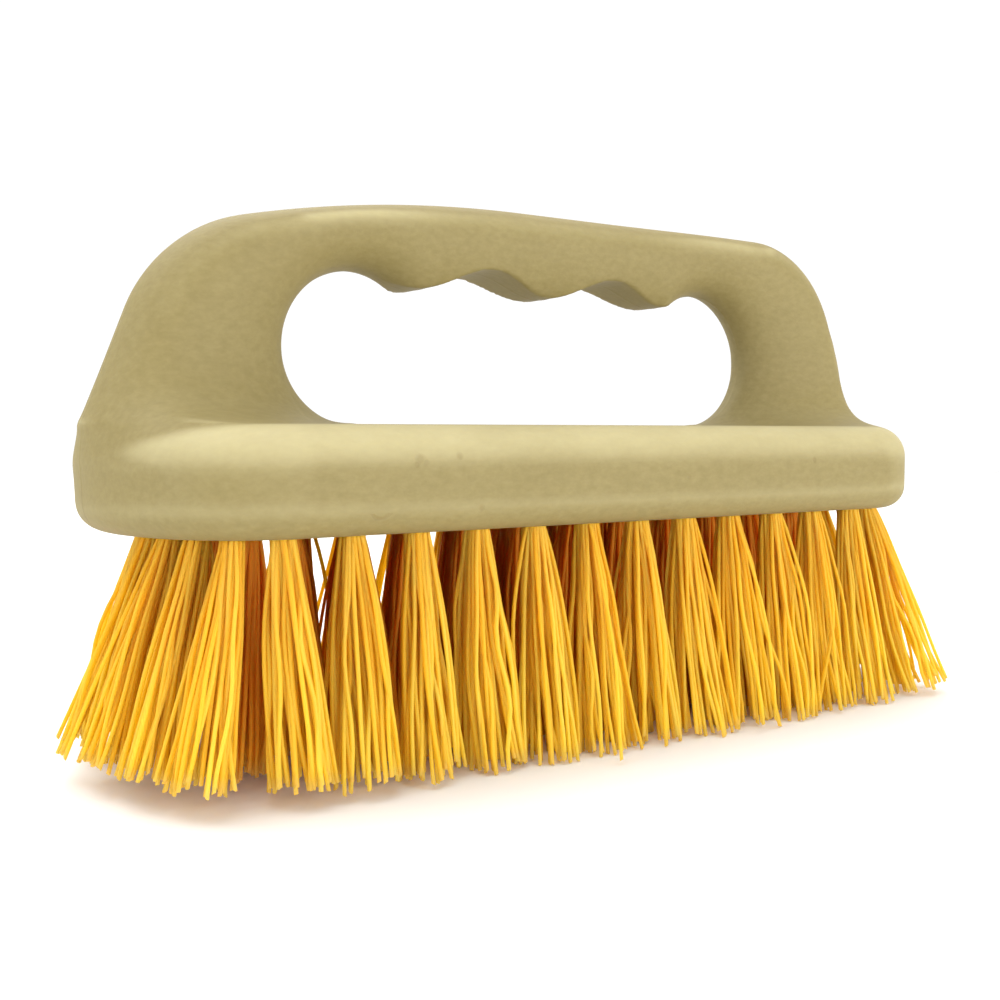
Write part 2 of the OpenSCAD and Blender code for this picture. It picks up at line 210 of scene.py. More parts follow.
def field(x, y, z):
    ay = np.abs(y)
    d2 = outline(x, ay)
    db = block_field(x, ay, z, d2)
    dh = np.maximum(handle_field(x, ay, z, d2), -8.0 - z)
    k = 3.6 + 2.4 * smooth(0.5, 7.0, -d2)
    k = k * (1 - 0.8 * smooth(TOE_OX - 16, TOE_OX - 4, x) * (1 - smooth(HEEL_OX + 4, HEEL_OX + 16, x)))
    h = np.maximum(k - np.abs(db - dh), 0) / k
    return np.minimum(db, dh) - h * h * k / 4


def field_and_gradient(p, e=0.03):
    x, y, z = p[:, 0], p[:, 1], p[:, 2]
    g = np.stack([field(x + e, y, z) - field(x - e, y, z),
                  field(x, y + e, z) - field(x, y - e, z),
                  field(x, y, z + e) - field(x, y, z - e)], 1) / (2 * e)
    return field(x, y, z), g


def surface_nets(xs, ys, zs):
    """Vertices and quads of the field's zero surface on a grid of cells."""
    val = np.empty((len(xs), len(ys), len(zs)))
    for i, xv in enumerate(xs):
        yy, zz = np.meshgrid(ys, zs, indexing="ij")
        val[i] = field(np.full_like(yy, xv), yy, zz)
    neg = val < 0
    c = [(i, j, k) for i in (0, 1) for j in (0, 1) for k in (0, 1)]
    n = np.array(val.shape) - 1
    count = sum(neg[i:n[0] + i, j:n[1] + j, k:n[2] + k].astype(np.int8) for i, j, k in c)
    ci, cj, ck = np.nonzero((count > 0) & (count < 8))
    acc = np.zeros((len(ci), 3))
    hits = np.zeros(len(ci))
    grids = (xs, ys, zs)
    for a in c:
        for axis in range(3):
            if a[axis]:
                continue
            b = list(a)
            b[axis] = 1
            ia = (ci + a[0], cj + a[1], ck + a[2])
            ib = (ci + b[0], cj + b[1], ck + b[2])
            va, vb = val[ia], val[ib]
            cross = (va < 0) != (vb < 0)
            t = np.where(cross, va / np.where(cross, va - vb, 1), 0)
            for m in range(3):
                pa, pb = grids[m][ia[m]], grids[m][ib[m]]
                acc[:, m] += np.where(cross, pa + t * (pb - pa), 0)
            hits += cross
    verts = acc / hits[:, None]
    index = np.full(tuple(n), -1, dtype=np.int64)
    index[ci, cj, ck] = np.arange(len(ci))
    quads = []
    for axis in range(3):
        a = [slice(0, s) for s in val.shape]
        b = list(a)
        a[axis] = slice(0, val.shape[axis] - 1)
        b[axis] = slice(1, val.shape[axis])
        diff = neg[tuple(a)] != neg[tuple(b)]
        e = np.nonzero(diff)
        inside_first = neg[tuple(a)][e]
        o1, o2 = (axis + 1) % 3, (axis + 2) % 3
        keep = (e[o1] > 0) & (e[o2] > 0) & (e[o1] < n[o1]) & (e[o2] < n[o2])
        e = [v[keep] for v in e]
        inside_first = inside_first[keep]
        cells = []
        for d1, d2 in ((1, 1), (0, 1), (0, 0), (1, 0)):
            q = list(e)
            q[o1] = e[o1] - d1
            q[o2] = e[o2] - d2
            cells.append(index[tuple(q)])
        q = np.stack(cells, 1)
        q[~inside_first] = q[~inside_first][:, ::-1]
        quads.append(q)
    return verts, np.concatenate(quads)


def mesh_from(name, verts, faces, smooth_faces=True):
    me = bpy.data.meshes.new(name)
    verts = np.ascontiguousarray(verts, dtype=np.float32)
    faces = np.ascontiguousarray(faces, dtype=np.int32)
    k = faces.shape[1]
    me.vertices.add(len(verts))
    me.vertices.foreach_set("co", verts.ravel())
    me.loops.add(faces.size)
    me.loops.foreach_set("vertex_index", faces.ravel())
    me.polygons.add(len(faces))
    me.polygons.foreach_set("loop_start", np.arange(0, faces.size, k, dtype=np.int32))
    me.polygons.foreach_set("loop_total", np.full(len(faces), k, dtype=np.int32))
    me.polygons.foreach_set("use_smooth", np.full(len(faces), smooth_faces))
    me.update(calc_edges=True)
    me.validate()
    return me


def add_object(name, me):
    o = bpy.data.objects.new(name, me)
    bpy.context.scene.collection.objects.link(o)
    return o


# ---------------------------------------------------------------------------------------------
# The holes of the tufts, as in the CAD part
# ---------------------------------------------------------------------------------------------
R1 = (TOE_BOW - INSET) * TOE_A
R2 = R1 + (TOE_R - INSET) * (math.pi / 2 - TOE_A)
R3 = R2 + HEEL_CX - TOE_CX
R4 = R3 + (HEEL_R - INSET) * (math.pi / 2 - HEEL_A)
R5 = R4 + (HEEL_BOW - INSET) * HEEL_A


def ring(s):
    def arc(cx, cy, r, a):
        return cx + r * math.cos(a), cy + r * math.sin(a), a
    if s < R1:
        return arc(TOE_EX, 0, TOE_BOW - INSET, math.pi - s / R1 * TOE_A)
    if s < R2:
        return arc(TOE_CX, TOE_CY, TOE_R - INSET,
                   math.pi - TOE_A - (s - R1) / (R2 - R1) * (math.pi / 2 - TOE_A))
    if s < R3:
        return TOE_CX + s - R2, HALF_W - INSET, math.pi / 2
    if s < R4:
        return arc(HEEL_CX, HEEL_CY, HEEL_R - INSET,
                   math.pi / 2 - (s - R3) / (R4 - R3) * (math.pi / 2 - HEEL_A))
    return arc(HEEL_EX, 0, HEEL_BOW - INSET, (R5 - s) / (R5 - R4) * HEEL_A)


FIRST = 3.5 * END_PITCH
SIDE_PITCH = (R5 - 2 * FIRST) / 11


def ring_hole(s, side):
    x, y, a = ring(s)
    lean = SIDE_LEAN + ((TOE_LEAN if math.cos(a) < 0 else HEEL_LEAN) - SIDE_LEAN) * abs(math.cos(a))
    return dict(x=x, y=side * y, a=side * a, lean=math.radians(lean), end=abs(math.cos(a)),
                ring=True, side=side)


def side_x(k):
    return ring(FIRST + k * SIDE_PITCH)[0]


def row_holes(n):
    if n % 2:
        i = (n - 1) // 2
        x = side_x(0) - 0.9 if i == 0 else side_x(11) + 2.1 if i == 12 else (side_x(i - 1) + side_x(i)) / 2
        a = math.radians(143 if i == 0 else 37 if i == 12 else 90)
        lean = math.radians(INNER_LEAN + (3 if i in (0, 12) else 0))
        return [dict(x=x, y=s * (HALF_W - INSET) / 2, a=s * a, lean=lean, end=0.0, ring=False, side=s)
                for s in (-1, 1)]
    k = n // 2 - 1
    s = FIRST + k * SIDE_PITCH
    return [ring_hole(s, -1), dict(x=side_x(k), y=0.0, a=0.0, lean=0.0, end=0.0, ring=False, side=0),
            ring_hole(s, 1)]


def toe_hole(side, j):
    t = (j + 0.5) * 7.0 / TOE_ROW_R
    a = math.pi - 1.65 * t
    lean = SIDE_LEAN + (TOE_LEAN - SIDE_LEAN) * abs(math.cos(a))
    return dict(x=-HALF_L + TOE_INSET + TOE_ROW_R * (1 - math.cos(t)), y=side * TOE_ROW_R * math.sin(t),
                a=side * a, lean=math.radians(lean), end=abs(math.cos(a)), ring=True, side=side)


ROWS = {"toe": [toe_hole(s, j) for s in (-1, 1) for j in range(3)]}
for n in range(1, 26):
    ROWS["%02d" % n] = row_holes(n)
ROWS["heel"] = [ring_hole(R5 - (j + 0.5) * END_PITCH, s) for s in (-1, 1) for j in range(3)]


def trim(h):
    """How much shorter a tuft is, towards the toe."""
    return TOE_TRIM * min(max((-20 - h["x"]) / 30, 0), 1)


def reach(h):
    """How far a tuft's end reaches along X from the middle of the block."""
    ax = math.sin(h["lean"]) * math.cos(h["a"])
    long = (REACH - TIP_D / 2 * math.sin(h["lean"])) / math.cos(h["lean"]) - trim(h)
    return abs(h["x"] + long * ax) + TIP_D / 2 * math.sqrt(1 - ax * ax)


SHIFT_X = (max(map(reach, ROWS["toe"])) - max(map(reach, ROWS["heel"]))) / 2


def hole_frame(h):
    """Mouth, axis towards the bristle ends, and two cross directions of a hole."""
    ca, sa, cl, sl = math.cos(h["a"]), math.sin(h["a"]), math.cos(h["lean"]), math.sin(h["lean"])
    mouth = np.array([h["x"], h["y"], -BLOCK_H])
    axis = np.array([sl * ca, sl * sa, -cl])
    e1 = np.array([cl * ca, cl * sa, sl])
    e2 = np.array([-sa, ca, 0.0])
    return mouth, axis, e1, e2


# ---------------------------------------------------------------------------------------------
# Body mesh
# ---------------------------------------------------------------------------------------------
CELL = 0.62


def build_body():
    nx = int(round(152.4 / CELL))
    xs = np.linspace(-76.2, 76.2, nx)
    half = np.concatenate([[0.09, 0.27, 0.48, 0.78], np.arange(1.2, 28.6, CELL)])
    ys = np.concatenate([-half[::-1], half])
    nz = int(round(53.0 / CELL))
    zs = np.linspace(-16.3, 36.7, nz)
    v, q = surface_nets(xs, ys, zs)
    for i in range(5):
        f, g = field_and_gradient(v)
        step = (f / np.maximum((g * g).sum(1), 0.2))[:, None] * g
        size = np.linalg.norm(step, axis=1, keepdims=True)
        v -= step * np.minimum(1, 0.35 / np.maximum(size, 1e-9))
    # the parting line of the mould: a fine ridge round the middle plane
    f, g = field_and_gradient(v)
    nrm = g / np.maximum(np.linalg.norm(g, axis=1, keepdims=True), 1e-9)
    edge = (np.abs(v[:, 1]) < 2) & (np.abs(nrm[:, 1]) < 0.5)
    inside_hole = (v[:, 2] < 0.8) & (v[:, 2] > -1) & (np.abs(v[:, 0]) < 60)
    under = v[:, 2] < -BLOCK_H + 0.4
    wob = 0.75 + 0.25 * np.sin(v[:, 0] * 0.21 + 1.3) * np.sin(v[:, 2] * 0.33 + v[:, 0] * 0.07)
    ridge = 0.07 * np.exp(-(v[:, 1] / 0.2) ** 2) * wob * edge * ~inside_hole * ~under
    v += nrm * ridge[:, None]
    me = mesh_from("moulded_body", to_world(v), q)
    # how strongly each place is rounded outwards and faces up, for the paler edges: partly wear, partly a painted
    # highlight where the light from above falls on them
    e = 2.2
    bend = -6.0 * field(v[:, 0], v[:, 1], v[:, 2])
    for d in ((e, 0, 0), (0, e, 0), (0, 0, e)):
        bend += field(v[:, 0] + d[0], v[:, 1] + d[1], v[:, 2] + d[2])
        bend += field(v[:, 0] - d[0], v[:, 1] - d[1], v[:, 2] - d[2])
    # painted highlight: only rounded edges that face upwards are lightened
    rim = smooth(0.01, 0.22, bend / (e * e)) * smooth(-0.5, 0.6, nrm[:, 2])
    at = me.attributes.new("rim", "FLOAT", "POINT")
    at.data.foreach_set("value", rim.astype(np.float32))
    return add_object("moulded_body_solid", me)


def build_bores():
    """One mesh of all the bores, to be cut from the body."""
    verts, faces = [], []
    n = 24
    for hs in ROWS.values():
        for h in hs:
            mouth, axis, e1, e2 = hole_frame(h)
            base = len(verts)
            phi = np.arange(n) * 2 * math.pi / n
            for d in (-3.0, HOLE_DEPTH):
                for t in phi:
                    verts.append(mouth - axis * d + HOLE_R * (math.cos(t) * e1 + math.sin(t) * e2))
            for k in range(n):
                a, b = base + k, base + (k + 1) % n
                faces.append((a, b, b + n, a + n))
            faces.append(tuple(base + k for k in range(n))[::-1])
            faces.append(tuple(base + n + k for k in range(n)))
    me = bpy.data.meshes.new("bores")
    me.from_pydata([tuple(p) for p in to_world(np.array(verts))], [], faces)
    me.update()
    return add_object("bores", me)


def cut_bores(body, bores):
    import bmesh
    bm = bmesh.new()
    bm.from_mesh(bores.data)
    bmesh.ops.recalc_face_normals(bm, faces=bm.faces)
    bm.to_mesh(bores.data)
    bm.free()
    mod = body.modifiers.new("bores", "BOOLEAN")
    mod.operation = "DIFFERENCE"
    mod.object = bores
    for solver in ("MANIFOLD", "EXACT"):
        mod.solver = solver
        dg = bpy.context.evaluated_depsgraph_get()
        dg.update()
        me = bpy.data.meshes.new_from_object(body.evaluated_get(dg))
        if len(me.polygons) > len(body.data.polygons) + 500:
            break
    body.modifiers.clear()
    old = body.data
    body.data = me
    bpy.data.meshes.remove(old)
    bpy.data.objects.remove(bores)
    me.polygons.foreach_set("use_smooth", np.ones(len(me.polygons), dtype=bool))
    me.set_sharp_from_angle(angle=math.radians(50))
    print("BODY faces", len(me.polygons), "verts", len(me.vertices))


body = build_body()
cut_bores(body, build_bores())
body.name = "body_shell"

# ---------------------------------------------------------------------------------------------
# Bristles: every tuft is twenty filaments folded over an anchor, so forty ends
# ---------------------------------------------------------------------------------------------
FIL_R = 0.31
N_FOLD = 20
SIDES = 6


def tube(path, radius, tilt, rng):
    """Rings round a path, with a blunt cut at each end. Returns the points of the rings."""
    m = len(path)
    tan = np.gradient(path, axis=0)
    tan /= np.linalg.norm(tan, axis=1, keepdims=True)
    ref = np.array([1.0, 0.13, 0.0])
    ref /= np.linalg.norm(ref)
    u = np.empty_like(tan)
    prev = ref - tan[0] * (ref @ tan[0])
    prev /= np.linalg.norm(prev)
    for i in range(m):
        prev = prev - tan[i] * (prev @ tan[i])
        prev /= np.linalg.norm(prev)
        u[i] = prev
    w = np.cross(tan, u)
    phi = np.arange(SIDES) * 2 * math.pi / SIDES + rng.uniform(0, 6.28)
    c, s = np.cos(phi), np.sin(phi)
    ring_pts = path[:, None, :] + radius * (c[None, :, None] * u[:, None, :] + s[None, :, None] * w[:, None, :])
    for end, t in ((0, tilt[0]), (m - 1, tilt[1])):
        k = t[0] * c + t[1] * s
        ring_pts[end] += radius * k[:, None] * tan[end][None, :]
    return ring_pts


def tuft_paths(h, rng):
    """The filaments of one tuft in the modelling frame, each a path from end to end."""
    mouth, axis, e1, e2 = hole_frame(h)
    ct, st = math.cos(ANCHOR_TURN), math.sin(ANCHOR_TURN)
    along, over = ct * e1 + st * e2, -st * e1 + ct * e2     # along the anchor and across it
    # a small lean of the whole tuft, as no two stand alike
    stray = rng.normal(0, 0.022, 2)
    tip_r = 5.0 + rng.uniform(-0.4, 0.5)
    out_bias = 0.0
    paths = []
    for i in range(N_FOLD):
        p = (i - (N_FOLD - 1) / 2) / (N_FOLD - 1) * 2        # -1..1 along the anchor
        p += rng.uniform(-0.06, 0.06)
        q0 = math.sqrt(max(0.05, 1 - p * p))
        q = q0 * (0.25 + 0.75 * rng.random() ** 0.6)
        half = []
        for sgn in (1, -1):
            qq = sgn * q * rng.uniform(0.85, 1.0)
            b = np.array([p * 1.62, qq * 1.62])               # place in the hole
            rad = math.hypot(*b) / 1.62
            ang = math.atan2(b[1], b[0]) + rng.normal(0, 0.25)
            tr = tip_r * (rad ** 0.9) * rng.uniform(0.78, 1.1) + abs(rng.normal(0, 0.25))
            tip = np.array([math.cos(ang), math.sin(ang)]) * tr
            length = REACH - trim(h) + rng.normal(0, 0.6)
            pw = rng.uniform(0.75, 1.1)
            amp = abs(rng.normal(0.0, 0.20)) + 0.10
            wave = rng.uniform(16, 36)
            ph = rng.uniform(0, 6.28, 2)
            dirn = rng.uniform(0, 6.28)
            bow = rng.normal(0, 0.9, 2)
            if rng.random() < 0.05:
                tip *= 1.5
                bow *= 1.8
            s = np.linspace(0, 1, 13)
            t = s * (length / math.cos(h["lean"]) if not h["ring"] or h["end"] < 0.2 else length) / REACH
            g = t ** pw
            wob = amp * smooth(0.0, 0.35, t) * np.sin(2 * math.pi * t * REACH / wave + ph[0])
            px = b[0] + (tip[0] - b[0]) * g + wob * math.cos(dirn) + bow[0] * np.sin(math.pi * np.clip(t, 0, 1)) * 0.6
            py = b[1] + (tip[1] - b[1]) * g + wob * math.sin(dirn) + bow[1] * np.sin(math.pi * np.clip(t, 0, 1)) * 0.6
            dist = t * REACH
            pts = (mouth + axis * dist[:, None] + along * px[:, None] + over * py[:, None]
                   + (e1 * (stray[0] + out_bias) + e2 * stray[1]) * (dist * t)[:, None] * 0.9)
            half.append(pts)
        a, c = half
        depth = HOLE_DEPTH - 0.7
        mid = []
        for pts, sgn in ((a, 1), (c, -1)):
            b0 = pts[0] - mouth
            pa, po = b0 @ along, b0 @ over
            mid.append([mouth - axis * 4.0 + along * pa + over * po,
                        mouth - axis * (depth - 1.6) + along * pa + over * po * 0.95,
                        mouth - axis * (depth - 0.5) + along * pa + over * po * 0.65])
        crown = mouth - axis * depth + along * float(((a[0] + c[0]) / 2 - mouth) @ along)
        path = np.concatenate([a[::-1], mid[0], [crown], mid[1][::-1], c])
        paths.append(path)
    return paths


def clip_to_floor(path, floor):
    """Ends a path where it meets the floor level, at both of its ends."""
    z = path[:, 2]
    keep = z > floor
    first, last = int(np.argmax(keep)), len(path) - 1 - int(np.argmax(keep[::-1]))
    out = [path[first:last + 1]]
    if first > 0:
        a, b = path[first - 1], path[first]
        t = (floor - a[2]) / (b[2] - a[2])
        out.insert(0, (a + (b - a) * t)[None])
    if last < len(path) - 1:
        a, b = path[last], path[last + 1]
        t = (floor - a[2]) / (b[2] - a[2])
        out.append((a + (b - a) * t)[None])
    return np.concatenate(out)


def build_tuft_row(key, holes, seed):
    rng = np.random.default_rng(seed)
    V, Q, T, tone, tipness, depth = [], [], [], [], [], []
    base = 0
    for h in holes:
        mouth = hole_frame(h)[0]
        # tufts within the ring are marked for painted shade in the material
        within = float(abs(mouth[1]) < 16 and abs(mouth[0]) < 58)
        for path in tuft_paths(h, rng):
            path = clip_to_floor(path, -TOP + 0.03 + rng.uniform(0, 0.35))
            tilt = rng.normal(0, 0.35, (2, 2))
            rp = tube(path, FIL_R * rng.uniform(0.92, 1.08), tilt, rng)
            m = len(rp)
            rp = rp.reshape(-1, 3)
            rp[:, 2] = np.maximum(rp[:, 2], -TOP + 0.02)
            V.append(rp)
            idx = base + np.arange(m * SIDES).reshape(m, SIDES)
            a = idx[:-1]
            b = idx[1:]
            Q.append(np.stack([a, np.roll(a, -1, 1), np.roll(b, -1, 1), b], 2).reshape(-1, 4))
            T.append(idx[0][::-1])
            T.append(idx[-1])
            tone.append(np.full(m * SIDES, rng.uniform(0, 1)))
            depth.append(np.full(m * SIDES, within))
            run = np.clip((-BLOCK_H - path[:, 2]) / (path[:, 2].max() - path[[0, -1], 2].mean()) * 1.27, 0, 0.93)
            # the cut ends are marked 1, for the painted highlight in the material
            run[0] = run[-1] = 1.0
            tipness.append(np.repeat(run, SIDES))
            base += m * SIDES
    V = np.concatenate(V)
    Q = np.concatenate(Q)
    me = bpy.data.meshes.new("bristles_" + key)
    faces = [tuple(int(i) for i in f) for f in Q] + [tuple(int(i) for i in f) for f in T]
    me.from_pydata([tuple(p) for p in to_world(V)], [], faces)
    me.update()
    smooth_flags = np.ones(len(faces), dtype=bool)
    smooth_flags[len(Q):] = False
    me.polygons.foreach_set("use_smooth", smooth_flags)
    at = me.attributes.new("tone", "FLOAT", "POINT")
    at.data.foreach_set("value", np.concatenate(tone).astype(np.float32))
    at = me.attributes.new("within", "FLOAT", "POINT")
    at.data.foreach_set("value", np.concatenate(depth).astype(np.float32))
    at = me.attributes.new("tip", "FLOAT", "POINT")
    at.data.foreach_set("value", np.concatenate(tipness).astype(np.float32))
    return add_object("bristles_" + key, me)


# ---------------------------------------------------------------------------------------------
# Anchors: flat wire with rolled edges, bowed a little where it bites into the hole's walls
# ---------------------------------------------------------------------------------------------
def build_anchor_row(key, holes):
    verts, faces = [], []
    L, T, H = 5.0, 0.4, 1.8
    prof = []
    r = 0.12
    for cx, cz, a0 in ((T / 2 - r, H / 2 - r, 0), (-T / 2 + r, H / 2 - r, 90),
                       (-T / 2 + r, -H / 2 + r, 180), (T / 2 - r, -H / 2 + r, 270)):
        for k in range(4):
            a = math.radians(a0 + 30 * k)
            prof.append((cx + r * math.cos(a), cz + r * math.sin(a)))
    m = len(prof)
    stations = [(-0.5, 0.72), (-0.485, 0.9), (-0.46, 1.0), (-0.3, 1.0), (-0.1, 1.0), (0.1, 1.0),
                (0.3, 1.0), (0.46, 1.0), (0.485, 0.9), (0.5, 0.72)]
    for h in holes:
        mouth, axis, e1, e2 = hole_frame(h)
        ct, st = math.cos(ANCHOR_TURN), math.sin(ANCHOR_TURN)
        along, over = ct * e1 + st * e2, -st * e1 + ct * e2
        centre = mouth - axis * (HOLE_DEPTH - 2.7)
        base = len(verts)
        for s, k in stations:
            bow = 0.05 * math.cos(math.pi * s)
            for px, pz in prof:
                verts.append(centre + along * s * L + over * px * k
                             - axis * (pz * k + bow - 0.05))
        for i in range(len(stations) - 1):
            for j in range(m):
                a, b = base + i * m + j, base + i * m + (j + 1) % m
                faces.append((a, b, b + m, a + m))
        faces.append(tuple(base + j for j in range(m))[::-1])
        faces.append(tuple(base + (len(stations) - 1) * m + j for j in range(m)))
    me = bpy.data.meshes.new("anchors_" + key)
    me.from_pydata([tuple(p) for p in to_world(np.array(verts))], [], faces)
    me.update()
    me.polygons.foreach_set("use_smooth", np.ones(len(faces), dtype=bool))
    me.set_sharp_from_angle(angle=math.radians(40))
    return add_object("anchors_" + key, me)


bristles, anchors = [], []
for n, (key, holes) in enumerate(ROWS.items()):
    bristles.append((key, build_tuft_row(key, holes, 7100 + n)))
    anchors.append((key, build_anchor_row(key, holes)))


# ---------------------------------------------------------------------------------------------
# Materials
# ---------------------------------------------------------------------------------------------
class Nodes:
    def __init__(self, name):
        self.mat = bpy.data.materials.new(name)
        self.mat.use_nodes = True
        self.t = self.mat.node_tree
        self.t.nodes.clear()
        self.out = self.add("ShaderNodeOutputMaterial")

    def add(self, kind, **values):
        n = self.t.nodes.new(kind)
        for k, v in values.items():
            if k.startswith("_"):
                n.inputs[k[1:].replace("_", " ")].default_value = v
            else:
                setattr(n, k, v)
        return n

    def link(self, a, b):
        self.t.links.new(a, b)

    def math(self, op, a, b=None, c=None, clamp=False):
        n = self.add("ShaderNodeMath", operation=op, use_clamp=clamp)
        for i, v in enumerate((a, b, c)):
            if v is None:
                continue
            if isinstance(v, (int, float)):
                n.inputs[i].default_value = v
            else:
                self.link(v, n.inputs[i])
        return n.outputs[0]

    def ramp(self, fac, stops, interp="LINEAR"):
        n = self.add("ShaderNodeValToRGB")
        n.color_ramp.interpolation = interp
        els = n.color_ramp.elements
        while len(els) > 1:
            els.remove(els[-1])
        els[0].position, els[0].color = stops[0][0], stops[0][1]
        for pos, col in stops[1:]:
            els.new(pos).color = col
        self.link(fac, n.inputs["Fac"])
        return n.outputs["Color"]

    def noise(self, vec, scale, detail=2.0, rough=0.5, distortion=0.0):
        n = self.add("ShaderNodeTexNoise", _Scale=scale, _Detail=detail, _Roughness=rough, _Distortion=distortion)
        self.link(vec, n.inputs["Vector"])
        return n.outputs["Fac"]

    def mapping(self, vec, scale=(1, 1, 1), loc=(0, 0, 0), rot=(0, 0, 0)):
        n = self.add("ShaderNodeMapping")
        n.inputs["Scale"].default_value = scale
        n.inputs["Location"].default_value = loc
        n.inputs["Rotation"].default_value = rot
        self.link(vec, n.inputs["Vector"])
        return n.outputs["Vector"]


def grey(v):
    return (v, v, v, 1.0)


def plastic_material():
    m = Nodes("moulded_plastic")
    tc = m.add("ShaderNodeTexCoord").outputs["Object"]
    # cloudy mottling of the foamed plastic, drawn out along the brush
    cloud = m.noise(m.mapping(tc, (40, 60, 80)), 1.0, 4.0, 0.55, 0.3)
    fine = m.noise(m.mapping(tc, (650, 900, 1100)), 1.0, 3.0, 0.6)
    grain = m.noise(m.mapping(tc, (260, 1500, 1700)), 1.0, 2.0, 0.5)
    mix = m.math("ADD", m.math("MULTIPLY", cloud, 0.25), m.math("MULTIPLY", fine, 0.75))
    col = m.ramp(mix, [(0.34, (0.226, 0.181, 0.070, 1)), (0.5, (0.243, 0.197, 0.079, 1)), (0.66, (0.262, 0.215, 0.089, 1))])
    # paler upward-facing rounded edges: partly wear, partly a painted highlight of the light from above
    rim = m.add("ShaderNodeAttribute", attribute_name="rim").outputs["Fac"]
    wear_and_highlight = m.add("ShaderNodeMix", data_type="RGBA")
    m.link(m.math("MULTIPLY", rim, m.math("MULTIPLY_ADD", cloud, 0.4, 0.25)), wear_and_highlight.inputs[0])
    m.link(col, wear_and_highlight.inputs[6])
    wear_and_highlight.inputs[7].default_value = (0.64, 0.58, 0.34, 1)
    # small marks on the near side: pits, specks, a scratch and a nick, each at its own place
    marks = None
    for p, r in (((-37.0, -27.3, -4.8), 0.55), ((-36.2, -27.3, -5.3), 0.35), ((-37.6, -27.3, -5.5), 0.3),
                 ((-30.8, -27.3, -4.4), 0.4), ((-27.2, -27.3, -11.8), 0.35), ((-63.2, -9.0, 12.9), 0.4),
                 ((-54.2, -9.2, 13.4), 0.4), ((-59.6, -9.2, 10.0), 0.35), ((12.0, -27.3, -8.3), 0.3),
                 ((41.0, -27.3, -5.9), 0.35), ((-40.8, -5.0, 31.9), 0.35), ((-9.0, -5.0, 31.3), 0.35),
                 ((30.0, 27.3, -7.0), 0.4), ((-12.0, 27.3, -4.0), 0.35), ((55.0, 9.0, 18.0), 0.4)):
        far = m.add("ShaderNodeVectorMath", operation="DISTANCE")
        m.link(tc, far.inputs[0])
        far.inputs[1].default_value = tuple(to_world(np.array(p)))
        spot = m.math("MULTIPLY_ADD", far.outputs["Value"], -1000.0 / r, 1.7, clamp=True)
        marks = spot if marks is None else m.math("MAXIMUM", marks, spot)
    # the crescent nick near the lower edge: a short bent line
    out = m.add("ShaderNodeVectorMath", operation="DISTANCE")
    m.link(tc, out.inputs[0])
    out.inputs[1].default_value = tuple(to_world(np.array((-43.1, -27.3, -11.2))))
    off = m.math("ABSOLUTE", m.math("SUBTRACT", out.outputs["Value"], 0.0016))
    arc = m.math("MULTIPLY_ADD", off, -4000.0, 1.4, clamp=True)
    sep = m.add("ShaderNodeSeparateXYZ")
    m.link(tc, sep.inputs[0])
    low = m.math("LESS_THAN", sep.outputs[2], float(to_world(np.array((0, 0, -12.0)))[2]))
    marks = m.math("MAXIMUM", marks, m.math("MULTIPLY", arc, low))
    # the mould's parting line shows darker low on the toe
    line = m.math("MULTIPLY_ADD", m.math("ABSOLUTE", sep.outputs[1]), -5000.0, 1.5, clamp=True)
    toe = m.math("LESS_THAN", sep.outputs[0], float(to_world(np.array((-70.0, 0, 0)))[0]))
    foot = m.math("LESS_THAN", sep.outputs[2], float(to_world(np.array((0, 0, -8.5)))[2]))
    line = m.math("MULTIPLY", line, m.math("MULTIPLY", toe, foot))
    marks = m.math("MAXIMUM", marks, m.math("MULTIPLY", line, 1.8))
    dark = m.add("ShaderNodeMix", data_type="RGBA")
    m.link(m.math("MULTIPLY", marks, 0.32), dark.inputs[0])
    m.link(wear_and_highlight.outputs[2], dark.inputs[6])
    dark.inputs[7].default_value = (0.20, 0.15, 0.06, 1)
    bs = m.add("ShaderNodeBsdfPrincipled")
    m.link(dark.outputs[2], bs.inputs["Base Color"])
    m.link(m.math("MULTIPLY_ADD", fine, 0.12, 0.58), bs.inputs["Roughness"])
    bs.inputs["Specular IOR Level"].default_value = 0.25
    bs.inputs["Subsurface Weight"].default_value = 0.12
    bs.inputs["Subsurface Radius"].default_value = (1.0, 0.75, 0.3)
    bs.inputs["Subsurface Scale"].default_value = 0.003
    bump = m.add("ShaderNodeBump")
    bump.inputs["Strength"].default_value = 0.35
    bump.inputs["Distance"].default_value = 0.0002
    h = m.math("ADD", m.math("MULTIPLY", fine, 0.7), m.math("MULTIPLY", grain, 0.3))
    h = m.math("SUBTRACT", h, m.math("MULTIPLY", marks, 1.5))
    m.link(h, bump.inputs["Height"])
    m.link(bump.outputs["Normal"], bs.inputs["Normal"])
    m.link(bs.outputs["BSDF"], m.out.inputs["Surface"])
    return m.mat


